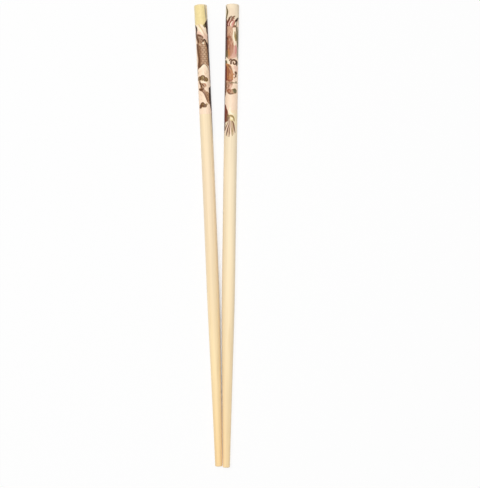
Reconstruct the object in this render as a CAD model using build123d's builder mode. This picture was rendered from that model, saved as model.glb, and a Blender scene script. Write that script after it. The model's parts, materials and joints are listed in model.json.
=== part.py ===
from build123d import *
import os
from math import sqrt

# A pair of round bamboo chopsticks, lying on a flat surface as a narrow V: tips together, butts apart.
#
# Frame: the length runs along Y, with the butts towards +Y and the tips towards -Y. The sticks lie on
# z = 0. The origin is on that surface, below the middle of the pair's bounding box. Millimetres.

# Left stick, seen from above with the tips nearest. Bamboo is sawn and sanded piece by piece, so the
# two sticks of a pair differ a little.
left_length = 239.7
left_butt_diameter = 6.75
left_bow = 0.66  # the middle of the stick stands this far off its chord, towards the other stick

# Right stick
right_length = 240.3
right_butt_diameter = 7.05
right_bow = 0.1

# Form of both sticks
shank_taper = 0.3  # what the diameter loses along the shank, from the butt to the shoulder
taper_length = 85.0  # from the shoulder to the tip
tip_diameter = 3.7
shoulder_blend = 30.0  # length over which the shank rounds into the taper
butt_edge = 0.4  # rounding of the rim of the flat butt
tip_edge = 0.5  # rounding of the rim of the tip
shank_steps = 4  # even steps between the cross sections that the shank is drawn through
blend_steps = 4
taper_steps = 3

# Lay of the pair
butt_gap = 9.9  # clear width between the butts
closest_gap = 0.1  # clear width where the sticks come nearest to each other


def diameter_at(run, length, butt_diameter):
    """Diameter at a distance from the butt: a slim cone, a rounded shoulder and a steeper cone."""
    shank_length = length - taper_length
    shoulder_diameter = butt_diameter - shank_taper
    shank_slope = -shank_taper / shank_length
    taper_slope = (tip_diameter - shoulder_diameter) / taper_length
    past_blend_start = run - (shank_length - shoulder_blend / 2)
    if past_blend_start <= 0:
        return butt_diameter + shank_slope * run
    if past_blend_start >= shoulder_blend:
        return shoulder_diameter + taper_slope * (run - shank_length)
    turned_in = (taper_slope - shank_slope) * past_blend_start**2 / (2 * shoulder_blend)
    return butt_diameter + shank_slope * run + turned_in


def section_runs(length):
    """Distances from the butt at which a stick's cross sections stand."""
    blend_start = length - taper_length - shoulder_blend / 2
    blend_end = blend_start + shoulder_blend
    shank_runs = [blend_start * step / shank_steps for step in range(shank_steps)]
    blend_runs = [blend_start + shoulder_blend * step / blend_steps for step in range(blend_steps)]
    taper_runs = [blend_end + (length - blend_end) * step / taper_steps for step in range(taper_steps + 1)]
    return shank_runs + blend_runs + taper_runs


def make_stick(length, butt_diameter, butt_x, tip_x, bow):
    """One stick, lofted through round sections along its slightly bowed axis. A bow is towards +X."""
    # The shank's lowest line rests on the surface. So the axis sinks as the shank gets thinner, and
    # runs straight on through the tapered end, which stays clear of the surface.
    sink = shank_taper / 2 * length / (length - taper_length)
    reach = sqrt(length**2 - (tip_x - butt_x) ** 2 - sink**2)
    butt = Vector(butt_x, butt_y, butt_diameter / 2)
    tip = Vector(tip_x, butt_y - reach, butt_diameter / 2 - sink)
    sideways = Vector(0, 0, 1).cross(tip - butt).normalized()
    with BuildPart() as stick:
        with BuildLine() as axis_line:
            ThreePointArc(butt, (butt + tip) / 2 + sideways * bow, tip)
        axis = axis_line.line
        for run in section_runs(length):
            share = run / length
            with BuildSketch(Plane(axis @ share, x_dir=(1, 0, 0), z_dir=axis % share)):
                Circle(diameter_at(run, length, butt_diameter) / 2)
        loft(ruled=True)
        fillet(stick.faces().sort_by(Axis.Y)[-1].edges(), butt_edge)
        fillet(stick.faces().sort_by(Axis.Y)[0].edges(), tip_edge)
    return stick.part


# The butts are level, half of the longer stick from the origin. Their outer sides are the widest
# points of the pair, and the origin is midway between them.
butt_y = max(left_length, right_length) / 2
pair_width = left_butt_diameter + butt_gap + right_butt_diameter
left_butt_x = left_butt_diameter / 2 - pair_width / 2
right_butt_x = pair_width / 2 - right_butt_diameter / 2
butt_spacing = right_butt_x - left_butt_x

# The sticks are closed until they nearly touch: at the tips, or at the shoulders where the taper is
# short. Either gives a spacing of the tips, from axis to axis, and the wider one holds.
met_tips_spacing = tip_diameter + closest_gap
taper_share = 2 * taper_length / (left_length + right_length)
shoulder_spacing = (left_butt_diameter + right_butt_diameter) / 2 - shank_taper + closest_gap
shoulder_bow = 4 * (left_bow + right_bow) * taper_share * (1 - taper_share)
met_shoulders_spacing = (shoulder_spacing + shoulder_bow - butt_spacing * taper_share) / (1 - taper_share)
tip_spacing = max(met_tips_spacing, met_shoulders_spacing)

# Both sticks lean in by the same amount.
lean = (butt_spacing - tip_spacing) / 2
left_tip_x = left_butt_x + lean
right_tip_x = right_butt_x - lean

chopstick_left = make_stick(left_length, left_butt_diameter, left_butt_x, left_tip_x, left_bow)
chopstick_right = make_stick(right_length, right_butt_diameter, right_butt_x, right_tip_x, -right_bow)

chopstick_left.label = "chopstick_left"
chopstick_right.label = "chopstick_right"

os.makedirs("parts", exist_ok=True)
export_step(chopstick_left, "parts/chopstick_left.step")
export_step(chopstick_right, "parts/chopstick_right.step")
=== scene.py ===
"""A pair of round bamboo chopsticks with a printed ornament, on a plain pale stage.

The settings hold lengths in metres and colours as linear values of the hex ones beside them.
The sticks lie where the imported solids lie: the length along Y, butts towards +Y, on z = 0.
"""

import json
import math

import bmesh
import bpy
import numpy as np
from bpy.props import FloatProperty, FloatVectorProperty, IntProperty, PointerProperty
from mathutils import Matrix, Vector


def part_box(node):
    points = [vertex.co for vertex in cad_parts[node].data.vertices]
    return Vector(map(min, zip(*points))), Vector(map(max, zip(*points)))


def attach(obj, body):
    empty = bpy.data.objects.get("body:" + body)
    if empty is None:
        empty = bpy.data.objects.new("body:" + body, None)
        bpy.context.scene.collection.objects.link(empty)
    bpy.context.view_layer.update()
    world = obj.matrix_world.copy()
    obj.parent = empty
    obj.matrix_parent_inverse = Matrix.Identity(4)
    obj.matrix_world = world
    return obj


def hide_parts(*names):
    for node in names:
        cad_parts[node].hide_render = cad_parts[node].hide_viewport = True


bl_info = {
    "name": "Bamboo Chopsticks",
    "version": (1, 0, 0),
    "blender": (4, 5, 0),
    "location": "3D View > Sidebar > Chopsticks",
    "description": "Builds a pair of printed bamboo chopsticks and a plain stage for them",
    "category": "Add Mesh",
}

MM = 0.001

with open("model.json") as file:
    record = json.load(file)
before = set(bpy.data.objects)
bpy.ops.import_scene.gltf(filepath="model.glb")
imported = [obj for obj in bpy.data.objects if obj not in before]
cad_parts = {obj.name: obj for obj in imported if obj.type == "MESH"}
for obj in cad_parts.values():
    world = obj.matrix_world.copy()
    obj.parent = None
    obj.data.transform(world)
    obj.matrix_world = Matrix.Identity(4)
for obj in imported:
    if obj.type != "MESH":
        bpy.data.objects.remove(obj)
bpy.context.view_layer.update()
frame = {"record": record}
mounts = {mount["name"]: mount for mount in frame["record"]["mounts"]}


def to_linear(colour):
    """Turns an sRGB hex colour such as "#f3ddb0" into linear red, green and blue."""
    shares = [int(colour[i : i + 2], 16) / 255 for i in (1, 3, 5)]
    return tuple(s / 12.92 if s <= 0.04045 else ((s + 0.055) / 1.055) ** 2.4 for s in shares)


def length_setting(label, description, millimetres):
    return FloatProperty(
        name=label, description=description, default=millimetres * MM, unit="LENGTH", precision=5
    )


def colour_setting(label, description, colour):
    return FloatVectorProperty(
        name=label,
        description=description,
        default=to_linear(colour),
        size=3,
        subtype="COLOR",
        min=0,
        max=1,
    )


def place_setting(label, description, millimetres):
    return FloatVectorProperty(
        name=label,
        description=description,
        default=[value * MM for value in millimetres],
        subtype="TRANSLATION",
        precision=5,
    )


class StickSettings(bpy.types.PropertyGroup):
    """Sizes of the two sticks, the same as the solids have."""

    left_length: length_setting("Left length", "Length of the left stick", 239.7)
    left_butt: length_setting("Left butt", "Diameter of the left stick at its butt", 6.75)
    left_bow: length_setting("Left bow", "How far the left stick's middle stands off its chord", 0.66)
    right_length: length_setting("Right length", "Length of the right stick", 240.3)
    right_butt: length_setting("Right butt", "Diameter of the right stick at its butt", 7.05)
    right_bow: length_setting("Right bow", "How far the right stick's middle stands off its chord", 0.1)
    lean: length_setting("Lean", "How far each tip lies sideways of its butt, towards the other", 6.5)
    shank_taper: length_setting("Shank taper", "Diameter lost between butt and shoulder", 0.3)
    taper_length: length_setting("Taper length", "Length of the tapered end", 85.0)
    tip_diameter: length_setting("Tip", "Diameter at the tip", 3.7)
    shoulder_blend: length_setting("Shoulder blend", "Length over which shank turns into taper", 30.0)
    butt_edge: length_setting("Butt edge", "Radius of the softened rim of the butt", 0.4)
    tip_edge: length_setting("Tip edge", "Radius of the softened rim of the tip", 0.5)
    print_length: length_setting("Print length", "Length that the ornament takes up from the butt", 74.0)
    facets: IntProperty(
        name="Facets", description="Faces round a stick", default=128, min=24, max=256
    )


class WoodSettings(bpy.types.PropertyGroup):
    """Tones of the bamboo from butt to tip, and of its fibre bundles."""

    left_butt_tone: colour_setting("Left butt tone", "Left stick at the butt", "#f8e3b8")
    left_shank_tone: colour_setting("Left shank tone", "Left stick halfway", "#fbe4c1")
    left_taper_tone: colour_setting("Left taper tone", "Left stick along the taper", "#f9dfae")
    left_tip_tone: colour_setting("Left tip tone", "Left stick at the tip", "#f8d69e")
    right_butt_tone: colour_setting("Right butt tone", "Right stick at the butt", "#f9e6c8")
    right_shank_tone: colour_setting("Right shank tone", "Right stick halfway", "#fae7c4")
    right_taper_tone: colour_setting("Right taper tone", "Right stick along the taper", "#fbe2b5")
    right_tip_tone: colour_setting("Right tip tone", "Right stick at the tip", "#f9dba8")
    bundle_tone: colour_setting("Fibre bundles", "Vascular bundles that run along the wood", "#d2ac72")


class InkSettings(bpy.types.PropertyGroup):
    """Inks of the ornament."""

    umber: colour_setting("Umber", "Darkest ink", "#3c2110")
    bistre: colour_setting("Bistre", "Dark brown ink", "#6e4626")
    # Olive also lays the dark strip at the front face's right limb, which is partly painted shade.
    olive: colour_setting("Olive", "Dark olive ink", "#75663f")
    khaki: colour_setting("Khaki", "Mid olive ink", "#a58a56")
    mocha: colour_setting("Mocha", "Mid brown ink", "#8a6246")
    tan: colour_setting("Tan", "Light brown ink", "#c69c78")
    sand: colour_setting("Sand", "Pale brown ink", "#dcbc9c")
    maroon: colour_setting("Maroon", "Dark red-brown ink", "#5c3128")
    oxblood: colour_setting("Oxblood", "Red-brown ink", "#7a3a28")
    brick: colour_setting("Brick", "Warm red ink", "#94432e")
    russet: colour_setting("Russet", "Mid red-brown ink", "#a06040")
    sienna: colour_setting("Sienna", "Light red-brown ink", "#bb8062")
    amber: colour_setting("Amber", "Orange-brown ink", "#c28450")
    coral: colour_setting("Coral", "Pink ink", "#d88a86")
    rose: colour_setting("Rose", "Pale pink ink", "#ecbcaa")
    blush: colour_setting("Blush", "Pinkish tan ink", "#d6a888")
    peach: colour_setting("Peach", "Pale peach ground", "#ffe1c6")
    straw: colour_setting("Straw", "Pale yellow ground", "#f3de9e")
    cream: colour_setting("Cream", "Palest ink, for lights", "#fff0d2")
    # Ash also lays the painted shade down the right flank of the front face.
    ash: colour_setting("Ash", "Greyish ink", "#a89c86")


class StageSettings(bpy.types.PropertyGroup):
    """Floor, light and camera."""

    floor_tone: colour_setting("Floor", "Colour of the floor", "#f4f4f4")
    sky_strength: FloatProperty(
        name="Sky", description="Strength of the light from all round", default=0.365, min=0
    )
    lamp_power: FloatProperty(
        name="Lamp", description="Power of the soft lamp", default=10.5, min=0, unit="POWER"
    )
    lamp_size: length_setting("Lamp size", "Side of the square soft lamp", 600.0)
    lamp_place: place_setting("Lamp place", "Middle of the lamp, which faces the origin", (-170, 100, 1200))
    target: place_setting("Target", "Point at the middle of the picture", (10.488, -5.479, 3.4))
    distance: length_setting("Distance", "From the camera to the target", 702.03)
    elevation: FloatProperty(
        name="Elevation",
        description="Camera's height above the horizon",
        default=math.radians(86),
        subtype="ANGLE",
    )
    roll: FloatProperty(
        name="Roll",
        description="Camera's turn about its line of sight",
        default=math.radians(-0.811),
        subtype="ANGLE",
    )
    lens: FloatProperty(
        name="Lens", description="Focal length in millimetres", default=100, subtype="DISTANCE_CAMERA"
    )


def add_node(tree, kind, inputs=None, **settings):
    """Adds a node; inputs gives its sockets, by name or number, a value or an output to link."""
    node = tree.nodes.new(kind)
    for name, value in settings.items():
        setattr(node, name, value)
    for key, value in (inputs or {}).items():
        if isinstance(value, bpy.types.NodeSocket):
            tree.links.new(value, node.inputs[key])
        else:
            node.inputs[key].default_value = value
    return node


def new_material(name):
    material = bpy.data.materials.new(name)
    material.use_nodes = True
    material.node_tree.nodes.clear()
    return material


def bamboo_material(name, butt, turn, tones, seed, length, end_grain):
    """Moso bamboo, sawn from the wall of the culm, turned round and sanded, left bare.

    Fibre bundles run the whole length and are thicker towards the skin of the culm. They show as faint
    darker lines along the stick and as dots on its sawn ends. Sanding leaves a fine fuzz, a dull sheen
    that pales the stick towards its edges. The ornament's ink is a thin coat over the wood and a little
    glossier.
    """
    bundle_strength = 0.75 if end_grain else 0.3
    relief_height = (0.05 if end_grain else 0.015) * MM
    sawn_roughness, ink_roughness = 0.75, 0.42
    material = new_material(name)
    tree = material.node_tree
    place = add_node(tree, "ShaderNodeTexCoord").outputs["Object"]
    # Millimetres from the middle of the butt, with the stick along -Y.
    turned = Matrix.Rotation(turn, 3, "Z") @ Vector(butt)
    local = add_node(
        tree,
        "ShaderNodeMapping",
        {"Vector": place, "Location": -turned / MM, "Rotation": (0, 0, turn), "Scale": [1 / MM] * 3},
    ).outputs[0]

    # Patterns drawn out along the stick, each with its width and length in millimetres. Bundles lie 0.75
    # apart and are about 0.4 thick, a little coarser than the real 0.3 so that they show, and long enough
    # to run off both ends. Fibres are strands between the bundles, coarser than real too. Bands are broad
    # tones from the culm's layers. Flecks are where the ink takes unevenly over the fibres.
    drawn_out = {}
    for pattern, shift, width, run in (
        ("bundles", (seed, seed / 3, 0.4), 0.75, 400),
        ("fibres", (0, seed, 0), 0.3, 20),
        ("bands", (seed * 2, 0, seed), 2.5, 120),
        ("flecks", (seed, 0, seed), 0.6, 1.1),
    ):
        drawn_out[pattern] = add_node(
            tree,
            "ShaderNodeMapping",
            {"Vector": local, "Location": shift, "Scale": (1 / width, 1 / run, 1 / width)},
        ).outputs[0]
    bundle_gap = add_node(
        tree, "ShaderNodeTexVoronoi", {"Vector": drawn_out["bundles"], "Scale": 1.0}, feature="F1"
    ).outputs["Distance"]
    fibres, bands, flecks = (
        add_node(
            tree, "ShaderNodeTexNoise", {"Vector": drawn_out[pattern], "Scale": 1.0, "Detail": detail}
        ).outputs["Fac"]
        for pattern, detail in (("fibres", 3.0), ("bands", 1.0), ("flecks", 2.0))
    )

    # Towards the skin side of the culm the bundles grow thicker: a slope across the section.
    split = add_node(tree, "ShaderNodeSeparateXYZ", {"Vector": local})
    rim = 3.5  # mm, about half a stick's width
    bundle_edge = add_node(
        tree,
        "ShaderNodeMapRange",
        {"Value": split.outputs["X"], "From Min": -rim, "From Max": rim, "To Min": 0.2, "To Max": 0.34},
    ).outputs[0]
    bundles = add_node(
        tree,
        "ShaderNodeMapRange",
        {"Value": bundle_gap, "From Min": bundle_edge, "From Max": 0.12, "To Min": 0.0, "To Max": 1.0},
        interpolation_type="SMOOTHSTEP",
    ).outputs[0]

    along = add_node(
        tree,
        "ShaderNodeMapRange",
        {"Value": split.outputs["Y"], "From Min": 0.0, "From Max": -length / MM},
    ).outputs[0]
    # Tones of butt, shank, taper and tip at these shares of the length.
    ramp = add_node(tree, "ShaderNodeValToRGB", {"Fac": along})
    stops = ramp.color_ramp.elements
    butt_share, shank_share, taper_share, tip_share = 0.02, 0.42, 0.8, 0.98
    stops.new(shank_share)
    stops.new(taper_share)
    for stop, share, tone in zip(stops, (butt_share, shank_share, taper_share, tip_share), tones):
        stop.position = share
        stop.color = (*tone, 1)

    # How far each pattern darkens and lightens what it lies in, and how rough the fibres are.
    band_share, fibre_share, fleck_share, sanded = (
        add_node(
            tree,
            "ShaderNodeMapRange",
            {"Value": noise, "From Min": low, "From Max": high, "To Min": least, "To Max": most},
        ).outputs[0]
        for noise, low, high, least, most in (
            (bands, 0.35, 0.65, 0.94, 1.05),
            (fibres, 0.3, 0.7, 0.96, 1.04),
            (flecks, 0.3, 0.7, 0.93, 1.05),
            (fibres, 0.3, 0.7, 0.5, 0.6),
        )
    )
    shade = add_node(
        tree, "ShaderNodeMath", {0: band_share, 1: fibre_share}, operation="MULTIPLY"
    ).outputs[0]
    wood = bpy.context.scene.wood
    bundle_share = add_node(
        tree, "ShaderNodeMath", {0: bundles, 1: bundle_strength}, operation="MULTIPLY"
    ).outputs[0]
    bundled = add_node(
        tree,
        "ShaderNodeMix",
        {0: bundle_share, 6: ramp.outputs["Color"], 7: (*wood.bundle_tone, 1)},
        data_type="RGBA",
    ).outputs[2]
    toned = add_node(
        tree, "ShaderNodeVectorMath", {0: bundled, "Scale": shade}, operation="SCALE"
    ).outputs[0]

    # The ink arrives multiplied by its cover, so the wood is held back by the cover and the ink added.
    # The attribute carries the print and, on the flanks, two marks of painted shade.
    ink = add_node(tree, "ShaderNodeAttribute", attribute_name="print_ink")
    bare = add_node(
        tree, "ShaderNodeMath", {0: 1.0, 1: ink.outputs["Alpha"]}, operation="SUBTRACT", use_clamp=True
    ).outputs[0]
    wood_part = add_node(
        tree, "ShaderNodeVectorMath", {0: toned, "Scale": bare}, operation="SCALE"
    ).outputs[0]
    ink_part = add_node(
        tree, "ShaderNodeVectorMath", {0: ink.outputs["Color"], "Scale": fleck_share}, operation="SCALE"
    ).outputs[0]
    colour = add_node(
        tree, "ShaderNodeVectorMath", {0: wood_part, 1: ink_part}, operation="ADD"
    ).outputs[0]

    rough = add_node(
        tree, "ShaderNodeMix", {0: ink.outputs["Alpha"], 2: sanded, 3: ink_roughness}, data_type="FLOAT"
    ).outputs[0]
    relief = add_node(tree, "ShaderNodeMath", {0: bundles, 1: fibres}, operation="ADD").outputs[0]
    bump = add_node(
        tree, "ShaderNodeBump", {"Height": relief, "Strength": 0.35, "Distance": relief_height}
    ).outputs[0]
    shader = add_node(
        tree,
        "ShaderNodeBsdfPrincipled",
        {
            "Base Color": colour,
            "Roughness": sawn_roughness if end_grain else rough,
            "Normal": bump,
            "IOR": 1.5,
            "Specular IOR Level": 0.28,
            "Sheen Weight": 0.6,
            "Sheen Roughness": 0.35,
        },
    )
    add_node(tree, "ShaderNodeOutputMaterial", {"Surface": shader.outputs[0]})
    return material


def diameter_at(run, length, butt, sticks):
    """Diameter that far from the butt: a slim cone, then a steeper one, a parabola between them."""
    shank_length = length - sticks.taper_length
    shoulder = butt - sticks.shank_taper
    shank_slope = -sticks.shank_taper / shank_length
    taper_slope = (sticks.tip_diameter - shoulder) / sticks.taper_length
    past = run - (shank_length - sticks.shoulder_blend / 2)
    if past <= 0:
        return butt + shank_slope * run
    if past >= sticks.shoulder_blend:
        return shoulder + taper_slope * (run - shank_length)
    turned_in = (taper_slope - shank_slope) * past**2 / (2 * sticks.shoulder_blend)
    return butt + shank_slope * run + turned_in


def straight_stick(length, butt, sticks):
    """A straight stick from the origin along +Y, spun from its outline. Returns the bmesh."""
    rim_segments = 6
    # Rings lie closer under the ornament, so that its edges come out crisp.
    printed_gap, bare_gap = 0.2 * MM, 2.0 * MM
    merge_distance = 0.001 * MM
    bm = bmesh.new()
    tip_radius = sticks.tip_diameter / 2
    corners = [(0, 0, 0), (butt / 2, 0, 0), (tip_radius, length, 0), (0, length, 0)]
    outline = [bm.verts.new(corner) for corner in corners]
    for start, end in zip(outline, outline[1:]):
        bm.edges.new((start, end))
    for corner, radius in ((outline[1], sticks.butt_edge), (outline[2], sticks.tip_edge)):
        bmesh.ops.bevel(
            bm,
            geom=[corner],
            offset=radius,
            offset_type="OFFSET",
            affect="VERTICES",
            segments=rim_segments,
            profile=0.5,
            material=-1,
        )
    side = max(bm.edges, key=lambda edge: edge.calc_length())
    near_butt = min(side.verts, key=lambda vert: vert.co.y)
    share = (sticks.print_length - near_butt.co.y) / side.calc_length()
    beyond = bmesh.utils.edge_split(side, near_butt, share)[0]
    printed, bare = sorted((side, beyond), key=lambda edge: sum(vert.co.y for vert in edge.verts))
    for edge, gap in ((printed, printed_gap), (bare, bare_gap)):
        cuts = round(edge.calc_length() / gap) - 1
        bmesh.ops.subdivide_edges(bm, edges=[edge], cuts=cuts)
    for vert in bm.verts:
        if sticks.butt_edge < vert.co.y < length - sticks.tip_edge:
            vert.co.x = diameter_at(vert.co.y, length, butt, sticks) / 2
    # Length walked along the outline from the rim of the butt, for the unwrapped surface.
    trail = bm.verts.layers.float.new("trail")
    rim = sorted((vert for vert in bm.verts if vert.co.x > 0), key=lambda vert: (vert.co.y, -vert.co.x))
    start = [vert for vert in rim if vert.co.y < sticks.butt_edge]
    start.sort(key=lambda vert: vert.co.x)
    end = rim[len(start) :]
    walked = 0.0
    for before, vert in zip(start + end, (start + end)[1:]):
        walked += (vert.co - before.co).length
        vert[trail] = walked
    bmesh.ops.spin(
        bm,
        geom=bm.verts[:] + bm.edges[:],
        cent=(0, 0, 0),
        axis=(0, 1, 0),
        dvec=(0, 0, 0),
        angle=math.tau,
        steps=sticks.facets,
        use_merge=True,
        use_duplicate=False,
    )
    bmesh.ops.remove_doubles(bm, verts=bm.verts, dist=merge_distance)
    bmesh.ops.recalc_face_normals(bm, faces=bm.faces)
    return bm


def unwrap_stick(bm, length):
    """Lays the surface out as four strips side by side and the two round ends above them.

    Places on the sheet are shares of its width and height.
    """
    strips = 4
    side_margin, strip_width = 0.03, 0.94  # shares of a strip's room on the sheet
    strip_foot, strip_height = 0.04, 0.8
    butt_place, tip_place = Vector((0.12, 0.945)), Vector((0.36, 0.945))
    end_width, end_height = 0.0119, 0.0135  # for each millimetre of a round end
    squarely = 0.999  # least part along the stick of the normals of a round end's faces
    trail = bm.verts.layers.float["trail"]
    whole = max(vert[trail] for vert in bm.verts)
    strip_length = whole / strips
    uv = bm.loops.layers.uv.new("OFBake")
    for face in bm.faces:
        middle = face.calc_center_median()
        if abs(face.normal.y) > squarely:
            centre = butt_place if middle.y < length / 2 else tip_place
            for loop in face.loops:
                at = loop.vert.co / MM
                loop[uv].uv = (centre.x + end_width * at.x, centre.y + end_height * at.z)
            continue
        facing = math.atan2(middle.x, middle.z)
        walked = sum(vert[trail] for vert in face.verts) / len(face.verts)
        strip = min(strips - 1, int(walked / strip_length))
        for loop in face.loops:
            angle = math.atan2(loop.vert.co.x, loop.vert.co.z)
            angle = facing + math.remainder(angle - facing, math.tau)
            around = 0.5 + angle / math.tau
            height = (loop.vert[trail] - strip * strip_length) / strip_length
            across = (strip + side_margin + strip_width * around) / strips
            loop[uv].uv = (across, strip_foot + strip_height * height)


def lay_stick(bm, butt, tip, bow, length):
    """Bends the straight stick onto its arc between butt and tip, and notes each place on its surface."""
    chord = tip - butt
    sideways = Vector((0, 0, 1)).cross(chord).normalized()
    turn = bm.verts.layers.float.new("turn")
    run = bm.verts.layers.float.new("run")
    for vert in bm.verts:
        x, y, z = vert.co
        vert[turn] = math.atan2(x, z)
        vert[run] = y / MM
        share = y / length
        centre = butt + chord * share + sideways * (4 * bow * share * (1 - share))
        forward = (chord + sideways * (4 * bow * (1 - 2 * share))).normalized()
        across = (Vector((1, 0, 0)) - forward * forward.x).normalized()
        vert.co = centre + across * x + forward.cross(across) * z
    bmesh.ops.recalc_face_normals(bm, faces=bm.faces)


class CHOPSTICKS_OT_add_sticks(bpy.types.Operator):
    """Adds the two bamboo sticks where the solids lie"""

    bl_idname = "chopsticks.add_sticks"
    bl_label = "Add Sticks"

    def execute(self, context):
        sticks, wood = context.scene.sticks, context.scene.wood
        tolerance = 0.1 * MM
        for side, length, butt_diameter, bow, inwards, grain_seed in (
            ("left", sticks.left_length, sticks.left_butt, sticks.left_bow, 1, 4.3),
            ("right", sticks.right_length, sticks.right_butt, -sticks.right_bow, -1, 27.1),
        ):
            node = f"chopstick_{side}"
            butt = Vector(mounts[f"butt_{side}"]["pos_m"])
            # The shank lies on the surface, so its axis sinks towards the tip as it gets thinner.
            sink = sticks.shank_taper / 2 * length / (length - sticks.taper_length)
            reach = math.sqrt(length**2 - sticks.lean**2 - sink**2)
            tip = butt + Vector((inwards * sticks.lean, -reach, -sink))
            bm = straight_stick(length, butt_diameter, sticks)
            unwrap_stick(bm, length)
            lay_stick(bm, butt, tip, bow, length)
            # Only the flat round ends are made of triangles.
            for face in bm.faces:
                is_end = len(face.verts) == 3
                face.smooth = not is_end
                face.material_index = int(is_end)
            mesh = bpy.data.meshes.new(f"bamboo_{side}")
            bm.to_mesh(mesh)
            bm.free()
            lean = -math.asin(inwards * sticks.lean / length)
            tones = [getattr(wood, f"{side}_{part}_tone") for part in ("butt", "shank", "taper", "tip")]
            for label, end_grain in (("turned and sanded", False), ("sawn end grain", True)):
                name = f"Bamboo, {label}, {side}"
                mesh.materials.append(
                    bamboo_material(name, butt, lean, tones, grain_seed, length, end_grain)
                )
            stick = bpy.data.objects.new(f"bamboo_stick_{side}", mesh)
            context.scene.collection.objects.link(stick)
            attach(stick, "root")
            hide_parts(node)
            low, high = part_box(node)
            corners = [Vector(corner) for corner in stick.bound_box]
            if max((corners[0] - low).length, (corners[6] - high).length) > tolerance:
                raise RuntimeError(f"{stick.name} doesn't lie where {node} lies")
        return {"FINISHED"}


# The ornament is drawn simply, of traditional scales, clouds, flames, leaves and a tassel, in the
# printed one's layout and colours. It winds once round the stick: the front face is centred on one side
# and the back face half a turn on, and each is half the way round, 10.7 mm wide. Places are
# millimetres, across the face from its middle and along from the butt. Each mark is a row for paint():
# kind, ink, strength, softness of its edge, points, and for scales the pitch. A softness is the width in
# millimetres over which the edge fades.

# Among the marks, the grey band down the front face's right flank is painted shade, and the dark strip at
# that flank's limb is partly painted shade.
FIELD_EDGE, LINE_EDGE, SCALE_EDGE = 0.2, 0.18, 0.13


def patch(ink, points, strength=1.0, softness=FIELD_EDGE):
    """A filled shape with a smooth outline."""
    return ("field", ink, strength, softness, points)


def scales(ink, points, pitch=1.0, strength=0.6):
    """Rims of overlapping round scales, in rows, within an outline."""
    return ("scales", ink, strength, SCALE_EDGE, points, pitch)


def stroke(ink, width, points, strength=1.0):
    """A brush line: full in its middle and half as wide at its ends. With two points, all half as wide."""
    last = len(points) - 1
    swell = [0.5 + 0.5 * math.sin(math.pi * i / last) for i in range(last + 1)]
    return ("line", ink, strength, LINE_EDGE, [(*at, width * share) for at, share in zip(points, swell)])


def spot(ink, x, y, radius, strength=0.9):
    """A round dot."""
    return ("dot", ink, strength, FIELD_EDGE, [(x, y, radius)])


def spiral(ink, width, x, y, radius, start, turns):
    """A brush line wound inwards, as in a drawn cloud. Start is the angle of its outer end, in turns."""
    steps = 14
    wound_in, thinned = 0.75, 0.3
    points = []
    for share in np.linspace(0, 1, steps):
        angle = math.tau * (start + turns * share)
        reach = radius * (1 - wound_in * share)
        thick = width * (1 - thinned * share)
        points.append((x + reach * math.cos(angle), y + reach * math.sin(angle), thick))
    return ("line", ink, 1.0, LINE_EDGE, points)


def puffs(fill, line, width, rounds, start=0.4, turns=1.2):
    """Round puffs of cloud, each filled and drawn with a curl."""
    filled = [spot(fill, x, y, radius, 1.0) for x, y, radius in rounds]
    return filled + [spiral(line, width, x, y, radius, start, turns) for x, y, radius in rounds]


def brush_grain(inks, left, right, low, high, count, seed):
    """Short brush marks scattered over a strip, which give it the grain of brushwork."""
    slant = 0.4
    shortest, longest = 0.7, 1.5
    thinnest, thickest = 0.6, 0.9
    strength = 0.6
    chance = np.random.default_rng(seed)
    marks = []
    for i in range(count):
        x, y = chance.uniform(left, right), chance.uniform(low, high)
        end = (x + chance.uniform(-slant, slant), y + chance.uniform(shortest, longest))
        width = chance.uniform(thinnest, thickest)
        marks.append(stroke(inks[i % len(inks)], width, [(x, y), end], strength))
    return marks


def tassel(x, y, inks, spread, length):
    """Strands that hang from one knot and sway apart, the middle ones longest."""
    strand_width, widest_sway, waves = 0.85, 0.4, 0.8
    shorter_share, knot_share = 0.25, 0.2
    marks = []
    for i, ink in enumerate(inks):
        side = 2 * i / (len(inks) - 1) - 1
        reach = length * (1 - shorter_share * side**2)
        points = []
        for share in (0, 0.3, 0.65, 1):
            sway = widest_sway * math.sin(math.tau * share * waves)
            apart = spread * side * (knot_share + (1 - knot_share) * share)
            points.append((x + apart + sway, y + reach * share))
        marks.append(stroke(ink, strand_width, points))
    return marks


def ground():
    """The pale wash under both faces."""
    return [patch("peach", [(-12, 9), (12, 9), (12, 56.8), (-12, 56.8)], 0.85, 0.9)]


def straw_band():
    """Yellow wash at the butt with a grey line beside it, and leaf blades below."""
    wash = [(-5.6, 1.4), (2.2, 1), (3.1, 5), (3.3, 10.4), (1, 11.2), (-1, 10.6), (-5.6, 11)]
    return [
        patch("straw", wash, 0.9, 0.7),
        stroke("ash", 1.2, [(2.5, 0.6), (2.9, 4.5), (3.2, 9)], 0.8),
        patch("umber", [(1.6, 11.2), (3, 8.8), (6, 8.4), (6, 15.6), (3.2, 15.6), (2.6, 12.8)]),
        patch("olive", [(0.9, 11.4), (1.9, 10.4), (2.4, 11.6), (1.6, 12.6)], 0.9),
        patch("rose", [(-5.4, 13.7), (-1, 14.6), (3, 16.6), (3, 18.8), (0.4, 17.8), (-5, 15.2)], 0.55, 0.5),
        stroke("straw", 1.0, [(-1.4, 10.4), (-0.8, 12), (0.4, 14)], 0.9),
        stroke("cream", 0.8, [(-2.8, 11), (-0.9, 13.4), (0.9, 16.6)]),
        stroke("cream", 0.8, [(0, 11.2), (1.2, 12.8), (2, 14.4)]),
        stroke("sand", 0.6, [(-1.5, 10.6), (0.3, 13.6), (1.9, 17)], 0.8),
        stroke("sienna", 0.7, [(-3.5, 11), (-2.9, 12.4)], 0.7),
        stroke("umber", 1.5, [(-4.6, 10.8), (-3.5, 12), (-3.1, 13.6), (-3.7, 15.4)]),
    ]


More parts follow.
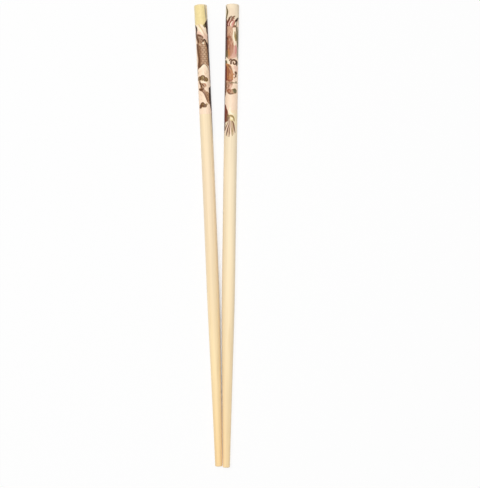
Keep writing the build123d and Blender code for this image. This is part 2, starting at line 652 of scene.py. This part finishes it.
def leaf():
    """A folded leaf that points to the right, its rim drawn dark, with a small curl under it."""
    return [
        patch("mocha", [(-5.2, 15.2), (-1.6, 15.8), (0.8, 17.6), (-0.4, 19.9), (-2.4, 20.2)], 0.85),
        patch("tan", [(-1, 19.4), (1.2, 18.6), (2.6, 20), (2.6, 22), (-1.8, 22)], 0.9),
        patch("bistre", [(-5, 15), (-3.4, 15.5), (-2, 18.2), (-1.5, 21.4), (-2.6, 21.6), (-3.3, 18.6)]),
        stroke("bistre", 0.8, [(-2.7, 16.4), (-1, 16.7), (0.6, 17.9)], 0.9),
        stroke("sand", 0.5, [(-1.9, 17.4), (-0.9, 17.8)], 0.7),
        spiral("bistre", 0.6, -0.4, 19.7, 0.9, 0.75, 0.9),
        stroke("umber", 0.9, [(0.7, 19.8), (1.2, 18.8), (2, 19.7), (2.3, 21)], 0.9),
        stroke("sand", 0.7, [(2.2, 18.8), (2.9, 20.1), (4, 21.2)]),
        stroke("oxblood", 1.2, [(4.2, 16), (4.2, 18.6)], 0.8),
    ]


def scaled_ribbon():
    """A scaled ribbon between dark borders, cut off below by a pale notch."""
    middle = [(-2.2, 21.4), (2.6, 21.2), (3.2, 27), (3.2, 32), (0.6, 31), (-2.4, 32.8)]
    return [
        patch("tan", [
            (-3.4, 20.8), (1.9, 20.8), (3.8, 23.2), (4.6, 28), (4.6, 32.8), (2.4, 32.4), (0.7, 31.6),
            (-2.6, 33.6), (-3.8, 32.4), (-3, 29.2), (-3.8, 25),
        ]),
        patch("mocha", [(-3.2, 21), (-1.4, 21.4), (-0.7, 26), (-1, 31), (-2.8, 33)], 0.65, 0.6),
        patch("mocha", [(-2, 21), (3.4, 21), (4.4, 32), (0.6, 31.4), (-2, 33)], 0.15, 0.4),
        patch("sand", [(0.2, 22), (1.6, 21.8), (2, 27), (1.9, 31), (0.6, 30.8)], 0.6, 0.6),
        scales("bistre", middle, 1.9, 0.6),
        patch("bistre", [
            (-3.9, 21.1), (-2.5, 21.1), (-2, 25.6), (-1.6, 29), (-1.9, 33), (-3.6, 34.2), (-3.4, 31.6),
            (-2.7, 29), (-3.4, 25),
        ], 0.95, 0.25),
        patch("umber", [
            (1.8, 19.8), (2.8, 20.4), (4.2, 22), (6.2, 24), (6.2, 36.4), (4.6, 36.2), (3.5, 33.4),
            (3, 28), (2.8, 24), (2.2, 21.6),
        ]),
        stroke("bistre", 0.9, [(-2.6, 33.6), (-1.4, 32.8), (0.2, 31.7)]),
        stroke("mocha", 0.6, [(0.6, 31.7), (2.2, 32.8), (3.3, 35)], 0.8),
        stroke("cream", 0.9, [(-2.4, 34.8), (-1, 33.4), (0.5, 32.4), (1.6, 33.4), (2.1, 35)], 0.9),
        stroke("ash", 1.0, [(-4.4, 33.6), (-4, 35.4), (-3.2, 36.6)], 0.8),
        # Painted shade: a grey band down the face's right flank, where the stick turns away from the light.
        stroke("ash", 1.4, [(4.3, 35), (4.1, 39.5), (4.3, 44.4)], 0.8),
        *brush_grain(("sand", "cream"), -1.4, 2, 34.6, 36.6, 8, 4),
        spot("cream", 0.6, 20.7, 0.55),
        spot("sand", -1.3, 21.4, 0.45),
    ]


def cloud():
    """A cloud of three puffs on a bent stem."""
    return [
        stroke("bistre", 1.2, [(-2.9, 40), (-2.3, 41.6), (-1.5, 43), (-1.2, 44.2)]),
        patch("tan", [(-1.6, 41.6), (0.4, 41.8), (1.2, 43.2), (0, 44.4), (-1, 43.8)], 0.9),
        *puffs("khaki", "bistre", 0.6, [(-2.5, 39.2, 1.2), (1.2, 39.9, 1.2), (-0.6, 39, 1.5)]),
        stroke("cream", 0.9, [(-1.6, 41.2), (-0.2, 41.3), (1.2, 41.5)]),
        stroke("sienna", 0.7, [(-0.4, 42), (0.5, 42.4), (1, 43.4)]),
        stroke("bistre", 0.7, [(-1.3, 42), (-0.6, 42.8), (0, 43.6)]),
        stroke("bistre", 1.1, [(-2, 43.2), (-1.5, 44.1), (-0.6, 44.3)]),
    ]


def trailing_band():
    """A scaled band that trails from the cloud to the flank, with a curl below it."""
    band = [
        (-3, 44.2), (-0.6, 44.2), (0.8, 46), (2.3, 47), (2.6, 52.8), (1.5, 51.8), (0.4, 48.8),
        (-1.2, 46.4), (-3, 45.4),
    ]
    return [
        patch("tan", band),
        scales("mocha", band, 1.5, 0.7),
        stroke("bistre", 1.4, [(-3.2, 44.8), (-1.8, 45.1), (-0.4, 44.7)]),
        stroke("mocha", 1.0, [(-1.2, 46), (0, 47.4), (0.8, 49.4), (1.4, 51.6)]),
        patch("umber", [
            (2.8, 44), (6.2, 44), (6.4, 56.4), (4, 56.4), (3, 54), (2.4, 50), (2.5, 46),
        ]),
        *puffs("khaki", "bistre", 0.8, [(-2.6, 53.9, 1), (0, 53.7, 0.9), (-1.3, 53.1, 1.3)]),
        spot("khaki", 0.9, 52.9, 0.5),
        stroke("sand", 0.5, [(-2.4, 47.4), (-1.9, 48.4)], 0.7),
        stroke("sand", 0.5, [(-2.2, 50.2), (-1.2, 50.6)], 0.7),
        # A dark olive strip at the right limb: partly a stem of the print, partly painted shade where the
        # flank turns away from the light.
        patch("olive", [(3.8, 57.6), (5.6, 57.6), (6, 70.6), (4.8, 70.8), (4.1, 66)], 0.9),
    ]


def flame():
    """A tendril that runs down from the butt, and tongues of flame that rise beside it."""
    return [
        patch("ash", [(2.8, 0.4), (6, 0.4), (6, 11), (3.6, 11), (3, 6)], 0.25, 0.8),
        patch("blush", [(-2.2, 2.6), (0.6, 3), (1.4, 6.4), (-2.2, 8)], 0.15, 1.0),
        stroke("olive", 1.3, [(-4.2, 1), (-3.2, 2.8), (-2.8, 4.4), (-3.2, 6), (-3.6, 7.6), (-3.3, 8.8)]),
        patch("blush", [(-3, 8.6), (-1, 8.4), (1, 9.6), (1, 12.8), (-2.6, 13.2)], 0.6, 0.5),
        stroke("oxblood", 1.4, [(-1.8, 12.8), (-2.7, 11.2), (-2.4, 9.6), (-1.3, 8.2)]),
        stroke("brick", 1.4, [(-0.9, 12.8), (-1.4, 11.2), (-0.6, 9.8), (0.4, 8.8)]),
        stroke("coral", 1.2, [(0, 12.4), (-0.2, 11.4), (0.5, 10.4), (0.9, 9.4)], 0.8),
        stroke("sienna", 0.8, [(0.9, 12), (0.8, 11), (1.4, 10), (1.5, 8.8)]),
        stroke("rose", 0.7, [(-1.7, 12), (-2, 10.8), (-1.2, 9.2)]),
        stroke("cream", 0.6, [(-0.4, 12.4), (-0.8, 11), (0.2, 9.4)]),
        stroke("russet", 0.6, [(-0.4, 9.2), (0.3, 8.2), (1.2, 7.9)]),
        stroke("bistre", 1.0, [(-1.9, 9), (-1.5, 7.8), (-0.4, 6.8)]),
        stroke("mocha", 1.1, [(-0.5, 8.8), (0.2, 7.5), (1.4, 6.7)]),
        stroke("umber", 1.4, [(2, 12.2), (2, 10.4), (2.5, 8.6), (3.6, 7.4)]),
        stroke("cream", 0.8, [(1.6, 12), (1.8, 10.8), (2.2, 9.6)]),
        stroke("oxblood", 1.4, [(-2.6, 11.6), (-1.3, 12.8), (0.2, 12.8)]),
        stroke("mocha", 1.2, [(0.6, 12.3), (1.3, 12), (2.3, 12.2)]),
    ]


def feathered_ribbon():
    """A broad red-brown ribbon with a pale rim and a grey stem, dark on its left flank."""
    return [
        patch("blush", [
            (-3.2, 12.9), (0.3, 12.9), (0.4, 18), (1.2, 21), (2.8, 23.4), (2.7, 27.6), (-2.6, 28.4),
        ]),
        patch("russet", [
            (-2.6, 17.4), (0.2, 17.8), (0, 20.4), (0.5, 21.6), (0.2, 24.2), (-2.5, 24),
        ], 0.85, 0.4),
        patch("sienna", [(-1.3, 19.6), (0.5, 21), (1.2, 24), (1.1, 27), (-0.9, 27.6)], 0.9, 0.4),
        patch("rose", [(1.3, 22), (3.1, 22.2), (2.9, 28), (0, 28.4), (0.5, 26)], 0.7, 0.4),
        *brush_grain(("mocha", "russet", "sand"), -2.4, 0.3, 13, 20, 12, 5),
        *brush_grain(("russet", "mocha", "blush"), -2.2, 0.8, 20, 27, 14, 8),
        stroke("coral", 1.1, [(2, 22.3), (2.5, 24), (2, 26.4)], 0.85),
        stroke("amber", 1.1, [(-1.7, 24), (-1.5, 26), (-1.3, 28)]),
        stroke("tan", 0.5, [(0.3, 15), (0, 17), (0.2, 19)], 0.8),
        stroke("cream", 1.0, [(0.7, 13), (1, 15.4), (0.8, 17.8), (1.3, 20), (1.3, 22)]),
        stroke("khaki", 1.1, [(1.5, 15), (1.8, 17.4), (2.1, 19.6)]),
        patch("ash", [(2.4, 12.4), (4.6, 14), (4.8, 28), (3, 28), (2.8, 22), (2.5, 17)], 0.9),
        stroke("olive", 1.3, [(2.3, 12.4), (2.8, 15), (3, 18.6), (3.3, 22.4)], 0.95),
        patch("maroon", [
            (-6.8, 8.2), (-3.3, 8.4), (-2.7, 11.6), (-2.6, 18), (-2.4, 23), (-2.5, 27.6), (-6.8, 28),
        ]),
        patch("olive", [(-3.8, 24.8), (-2.5, 24.8), (-2, 27), (-2.2, 28.4), (-3.8, 28.6)], 0.85),
        spot("umber", -2.9, 18.4, 0.7),
        scales("tan", [(-6.6, 10), (-4.2, 10), (-4.2, 27), (-6.6, 27)], 1.0, 0.4),
    ]


def curled_cloud():
    """A pale gap with a curled cloud in it."""
    return [
        stroke("cream", 1.3, [(-3.2, 28.4), (-2, 30.4), (-1.1, 32.6)]),
        patch("olive", [(-4.8, 29.8), (-2.9, 29.9), (-2.4, 31), (-2.9, 32), (-4.8, 32)]),
        *puffs("peach", "bistre", 1.0, [(1.4, 31.2, 1.8)], 0.45, 1.1),
        stroke("bistre", 0.9, [(-1.2, 30.2), (-0.5, 29.6), (0.3, 29.9)]),
        stroke("umber", 1.2, [(2.6, 30), (3.2, 31), (2.9, 32.6)]),
        patch("rose", [(1.2, 33), (4, 33.2), (4, 35.6), (1.8, 35.6)], 0.6, 0.4),
    ]


def amber_field():
    """A rounded amber field with a dark red flank, and short marks beside and below it."""
    return [
        patch("amber", [
            (-4.2, 32.2), (-1.6, 31.9), (-0.2, 33), (0.8, 35.2), (0.9, 38.2), (0.4, 40.8), (-4.2, 40.8),
        ]),
        patch("oxblood", [
            (-6.6, 32.2), (-3, 32.4), (-2.3, 35), (-2.3, 38), (-2.6, 41), (-6.6, 41),
        ], 1.0, 0.3),
        *brush_grain(("russet", "brick", "blush", "russet"), -2, 0.4, 33.2, 39.8, 15, 3),
        stroke("mocha", 0.8, [(-1.9, 32.6), (-0.8, 33.5), (0, 34.9)]),
        stroke("russet", 1.1, [(-1.8, 34.2), (-1.3, 35.6), (-1.7, 38)]),
        stroke("peach", 0.6, [(0.1, 33.6), (0.8, 35.4), (0.9, 37.4)], 0.6),
        patch("bistre", [
            (1.6, 36), (3, 35.8), (3.4, 36.8), (2.8, 37.5), (3, 38.6), (1.9, 38.8), (2.1, 37.4),
        ]),
        spot("cream", 1.5, 35.1, 0.5),
        spot("sienna", 1.3, 37.3, 0.5),
        spot("sienna", 1.6, 39.1, 0.45),
        patch("blush", [(-2.8, 40.8), (0.5, 40.9), (0.7, 42.8), (0.1, 44.4), (-0.6, 45.4), (-2.8, 45.6)]),
        *brush_grain(("mocha", "russet", "bistre", "rose"), -2.4, 0.4, 41, 44.6, 18, 11),
        stroke("russet", 1.2, [(-2.1, 40.2), (-0.9, 40.8), (0.5, 40.3)]),
        patch("bistre", [
            (-5, 40.4), (-3.1, 40.6), (-2.6, 42.4), (-2.6, 44.8), (-3.1, 47.6), (-4.4, 49.6), (-5, 49),
        ], 1.0, 0.3),
        stroke("olive", 0.5, [(-2.2, 41.8), (0.8, 41.8), (4.6, 41.8)], 0.8),
        spot("olive", 2.7, 41.3, 0.5),
    ]


def small_cloud():
    """A lying cloud, red-brown at one end and olive at the other."""
    return [
        patch("tan", [
            (-2, 45.5), (-0.4, 45.2), (2.6, 45.2), (3.3, 46.2), (2.6, 47.4), (-0.6, 47.8), (-1.8, 47),
        ]),
        *puffs("tan", "russet", 0.7, [(-1.1, 46.3, 1.1)], 0.5),
        *puffs("ash", "olive", 0.8, [(2, 46.1, 1.1)], 0.6),
        stroke("mocha", 0.9, [(-1.8, 47), (-0.6, 47.6), (1, 47.6)]),
    ]


def hanging_tassel():
    """A dark red flank, and a tassel hung from a yellow knot beside it."""
    strands = ("mocha", "peach", "maroon", "sand", "mocha", "peach", "khaki", "sand", "mocha")
    return [
        patch("straw", [(-1, 57), (4.6, 56), (4.6, 63), (1.4, 63.6), (-0.8, 59)], 0.3, 0.8),
        patch("oxblood", [
            (-6.4, 53), (-3.4, 53), (-2.3, 55.2), (-1.6, 57), (-1.6, 60), (-2.2, 62.2), (-6.4, 62.4),
        ], 1.0, 0.25),
        patch("mocha", [(-2.3, 58), (-1, 58.6), (-0.4, 60), (-0.8, 61.6), (-2.4, 61.8)], 0.9, 0.3),
        stroke("cream", 1.0, [(-0.4, 55.2), (-0.7, 56.8), (0, 57.8), (1.4, 58.2)]),
        *tassel(-0.4, 61.2, strands, 3.3, 8.8),
        stroke("maroon", 1.2, [(-3.8, 62), (-3.7, 64), (-3.9, 66.4)]),
        stroke("khaki", 1.0, [(-1.6, 59.6), (-0.4, 59.1), (0.8, 59.4), (1.6, 60.4), (1.8, 61.8)]),
        spot("straw", 0.4, 60.8, 0.95),
        spot("cream", 0.6, 60.6, 0.5),
    ]


def front_face():
    return straw_band() + leaf() + scaled_ribbon() + cloud() + trailing_band()


def back_face():
    above = flame() + feathered_ribbon() + curled_cloud()
    return above + amber_field() + small_cloud() + hanging_tassel()


def smooth_points(points, closed, step=0.45):
    """Points of a smooth curve through the given ones, each about a step from the next.

    The curve is a Catmull-Rom spline. A third value, such as a width, is smoothed along with the place.
    """
    given = np.array(points, float)
    count = len(given)
    if count < 3 and not closed:
        return given
    spans = []
    for i in range(count if closed else count - 1):
        before, start, end, after = (
            given[k % count] if closed else given[min(max(k, 0), count - 1)] for k in range(i - 1, i + 3)
        )
        pieces = max(2, int(np.hypot(*(end - start)[:2]) / step))
        share = (np.arange(pieces) / pieces)[:, None]
        slope = end - before
        bend = 2 * before - 5 * start + 4 * end - after
        twist = 3 * start - before - 3 * end + after
        spans.append(0.5 * (2 * start + slope * share + bend * share**2 + twist * share**3))
    spans.append(given[:1] if closed else given[-1:])
    return np.concatenate(spans)


def line_depth(places, path):
    """How far inside the edge of a brush line each place lies, in millimetres; negative is outside."""
    x, y, width = path[:-1].T
    step_x, step_y, widening = np.diff(path, axis=0).T
    away_x, away_y = places[:, :1] - x, places[:, 1:] - y
    never_zero = 1e-9
    reach = np.maximum(step_x**2 + step_y**2, never_zero)
    share = np.clip((away_x * step_x + away_y * step_y) / reach, 0, 1)
    gap = np.hypot(away_x - share * step_x, away_y - share * step_y)
    return ((width + share * widening) / 2 - gap).max(1)


def field_depth(places, path):
    """How far inside a closed outline each place lies, in millimetres; negative is outside."""
    outline = np.column_stack([path, np.zeros(len(path))])
    gap = -line_depth(places, outline)
    x, y = places[:, :1], places[:, 1:2]
    x0, y0, x1, y1 = path[:-1, 0], path[:-1, 1], path[1:, 0], path[1:, 1]
    crosses = (y0 > y) != (y1 > y)
    rise = np.where(y1 == y0, 1, y1 - y0)
    inside = (crosses & (x < x0 + (y - y0) * (x1 - x0) / rise)).sum(1) % 2 == 1
    return np.where(inside, gap, -gap)


def scale_depth(places, pitch):
    """How far inside the rims of overlapping round scales each place lies, in millimetres.

    The rows lie 0.6 of a pitch apart, each row half a scale aside of the last. Rows are counted from the
    butt, and a scale bulges away from it.
    """
    row_share, radius_share = 0.6, 0.56
    half_rim = 0.21
    outside = -1.0
    row = np.floor(places[:, 1] / (pitch * row_share))
    best = np.full(len(places), outside)
    for step in (0, -1):
        shift = np.where((row + step) % 2 == 0, 0.0, pitch / 2)
        across = np.remainder(places[:, 0] + shift + pitch / 2, pitch) - pitch / 2
        along = places[:, 1] - (row + step) * pitch * row_share
        near = np.abs(np.hypot(across, along) - pitch * radius_share)
        best = np.maximum(best, np.where(along > 0, half_rim - near, outside))
    return best


def paint(cover, colour, marks, across, along):
    """Lays brush marks onto the places of a stick's surface, the later ones over the earlier.

    Cover and colour are changed in place. The colour is kept multiplied by the cover.
    """
    inks = bpy.context.scene.inks
    bulge = 1.0  # a smooth outline and its soft edge reach at most this far past the given points
    for kind, ink, strength, softness, points, *pitch in marks:
        given = np.array(points, float)
        margin = bulge + (given[:, 2:].max() if given.shape[1] > 2 else 0)
        low, high = given[:, :2].min(0) - margin, given[:, :2].max(0) + margin
        near = np.nonzero((across > low[0]) & (across < high[0]) & (along > low[1]) & (along < high[1]))[0]
        places = np.column_stack([across[near], along[near]])
        if kind == "line":
            depth = line_depth(places, smooth_points(points, False))
        elif kind == "dot":
            depth = given[0, 2] - np.linalg.norm(places - given[0, :2], axis=1)
        else:
            depth = field_depth(places, smooth_points(points, True))
            if kind == "scales":
                depth = np.minimum(depth, scale_depth(places, pitch[0]))
        share = np.clip(0.5 + depth / softness, 0, 1)
        share = strength * share * share * (3 - 2 * share)
        cover[near] += (1 - cover[near]) * share
        colour[near] += (np.array(getattr(inks, ink)) - colour[near]) * share[:, None]


class CHOPSTICKS_OT_print_ornament(bpy.types.Operator):
    """Prints the ornament, and two marks of painted shade with it, round the upper part of both sticks"""

    bl_idname = "chopsticks.print_ornament"
    bl_label = "Print Ornament"

    def execute(self, context):
        # Millimetres round the surface for a full turn, at the radius that the ornament is drawn for.
        drawn_radius = 3.4
        around = math.tau * drawn_radius
        for side, front_turn in (("left", 0.0), ("right", 0.5)):
            stick = bpy.data.objects.get(f"bamboo_stick_{side}")
            if stick is None:
                raise RuntimeError("add the sticks before the ornament")
            mesh = stick.data
            count = len(mesh.vertices)
            turn, run = np.zeros(count), np.zeros(count)
            mesh.attributes["turn"].data.foreach_get("value", turn)
            mesh.attributes["run"].data.foreach_get("value", run)
            cover, colour = np.zeros(count), np.zeros((count, 3))
            for marks, middle in ((ground() + front_face(), front_turn), (back_face(), front_turn + 0.5)):
                across = (turn / math.tau - middle + 0.5) % 1.0 - 0.5
                paint(cover, colour, marks, across * around, run)
            ink = mesh.attributes.new("print_ink", "FLOAT_COLOR", "POINT")
            ink.data.foreach_set("color", np.column_stack([colour, cover]).ravel())
        return {"FINISHED"}


def floor_material(tone):
    """Matt white backdrop paper: a diffuse ground that takes soft shadows.

    For the camera and for reflections most of it is lifted to white, so the shadows show faintly. Where
    the paper sees hardly any sky, as in the narrow gap between the tips, it isn't lifted and the shadow
    shows whole.
    """
    gap_reach = 30 * MM
    narrow_sky, open_sky = 0.1, 0.28
    most_lift = 0.85
    material = new_material("Backdrop paper, matt")
    tree = material.node_tree
    rays = add_node(tree, "ShaderNodeLightPath").outputs
    seen = add_node(
        tree, "ShaderNodeMath", {0: rays["Is Camera Ray"], 1: rays["Is Glossy Ray"]}, operation="MAXIMUM"
    ).outputs[0]
    sky_share = add_node(
        tree, "ShaderNodeAmbientOcclusion", {"Distance": gap_reach}, samples=8
    ).outputs["AO"]
    lift = add_node(
        tree,
        "ShaderNodeMapRange",
        {"Value": sky_share, "From Min": narrow_sky, "From Max": open_sky, "To Max": most_lift},
        interpolation_type="SMOOTHSTEP",
    ).outputs[0]
    seen_lift = add_node(tree, "ShaderNodeMath", {0: seen, 1: lift}, operation="MULTIPLY").outputs[0]
    paper = add_node(tree, "ShaderNodeBsdfDiffuse", {"Color": (*tone, 1)})
    glow = add_node(tree, "ShaderNodeEmission", {"Color": (1, 1, 1, 1), "Strength": 1.0})
    mixed = add_node(tree, "ShaderNodeMixShader", {0: seen_lift, 1: paper.outputs[0], 2: glow.outputs[0]})
    add_node(tree, "ShaderNodeOutputMaterial", {"Surface": mixed.outputs[0]})
    return material


class CHOPSTICKS_OT_set_stage(bpy.types.Operator):
    """Adds the floor, the light and the camera"""

    bl_idname = "chopsticks.set_stage"
    bl_label = "Set Stage"

    def execute(self, context):
        scene, stage = context.scene, context.scene.stage
        floor_reach = 4  # metres from the middle to each side
        bm = bmesh.new()
        bmesh.ops.create_grid(bm, x_segments=1, y_segments=1, size=floor_reach)
        mesh = bpy.data.meshes.new("floor")
        bm.to_mesh(mesh)
        bm.free()
        mesh.materials.append(floor_material(stage.floor_tone))
        floor = bpy.data.objects.new("floor", mesh)
        scene.collection.objects.link(floor)

        world = bpy.data.worlds.new("studio")
        world.use_nodes = True
        tree = world.node_tree
        tree.nodes.clear()
        rays = add_node(tree, "ShaderNodeLightPath").outputs
        seen = add_node(
            tree,
            "ShaderNodeMath",
            {0: rays["Is Camera Ray"], 1: rays["Is Transmission Ray"]},
            operation="MAXIMUM",
        ).outputs[0]
        sky, backdrop = (
            add_node(tree, "ShaderNodeBackground", {"Color": (1, 1, 1, 1), "Strength": strength})
            for strength in (stage.sky_strength, 1.0)
        )
        mixed = add_node(
            tree, "ShaderNodeMixShader", {0: seen, 1: sky.outputs[0], 2: backdrop.outputs[0]}
        )
        add_node(tree, "ShaderNodeOutputWorld", {"Surface": mixed.outputs[0]})
        scene.world = world

        light = bpy.data.lights.new("soft lamp", "AREA")
        light.shape = "SQUARE"
        light.size = stage.lamp_size
        light.energy = stage.lamp_power
        lamp = bpy.data.objects.new("soft lamp", light)
        scene.collection.objects.link(lamp)
        lamp.location = stage.lamp_place
        lamp.rotation_euler = (-lamp.location).to_track_quat("-Z", "Y").to_euler()

        film_width = 36  # millimetres, as the lens's focal length
        nearest, farthest = 0.01, 20
        camera_data = bpy.data.cameras.new("camera")
        camera_data.lens = stage.lens
        camera_data.sensor_width = film_width
        camera_data.clip_start, camera_data.clip_end = nearest, farthest
        camera = bpy.data.objects.new("camera", camera_data)
        scene.collection.objects.link(camera)
        view = Vector((0, math.cos(stage.elevation), -math.sin(stage.elevation)))
        right = Vector((1, 0, 0))
        up = right.cross(view)
        turned_right = right * math.cos(stage.roll) + up * math.sin(stage.roll)
        turned_up = up * math.cos(stage.roll) - right * math.sin(stage.roll)
        axes = Matrix((turned_right, turned_up, -view)).transposed().to_4x4()
        camera.matrix_world = Matrix.Translation(Vector(stage.target) - view * stage.distance) @ axes
        scene.camera = camera
        scene.view_settings.view_transform = "Standard"
        return {"FINISHED"}


class CHOPSTICKS_PT_panel(bpy.types.Panel):
    bl_idname = "CHOPSTICKS_PT_panel"
    bl_label = "Bamboo Chopsticks"
    bl_space_type = "VIEW_3D"
    bl_region_type = "UI"
    bl_category = "Chopsticks"

    def draw(self, context):
        for operator, settings in PANEL_ROWS:
            box = self.layout.box()
            box.operator(operator)
            for group in settings:
                values = getattr(context.scene, group)
                for name in values.__annotations__:
                    box.prop(values, name)


GROUPS = {
    "sticks": StickSettings,
    "wood": WoodSettings,
    "inks": InkSettings,
    "stage": StageSettings,
}
OPERATORS = (CHOPSTICKS_OT_add_sticks, CHOPSTICKS_OT_print_ornament, CHOPSTICKS_OT_set_stage)
PANEL_ROWS = (
    ("chopsticks.add_sticks", ("sticks", "wood")),
    ("chopsticks.print_ornament", ("inks",)),
    ("chopsticks.set_stage", ("stage",)),
)


def register():
    for cls in (*GROUPS.values(), *OPERATORS, CHOPSTICKS_PT_panel):
        bpy.utils.register_class(cls)
    for name, group in GROUPS.items():
        setattr(bpy.types.Scene, name, PointerProperty(type=group))


def unregister():
    for name in GROUPS:
        delattr(bpy.types.Scene, name)
    for cls in reversed((*GROUPS.values(), *OPERATORS, CHOPSTICKS_PT_panel)):
        bpy.utils.unregister_class(cls)


def main():
    register()
    bpy.ops.chopsticks.add_sticks()
    bpy.ops.chopsticks.print_ornament()
    bpy.ops.chopsticks.set_stage()


if __name__ == "__main__":
    main()
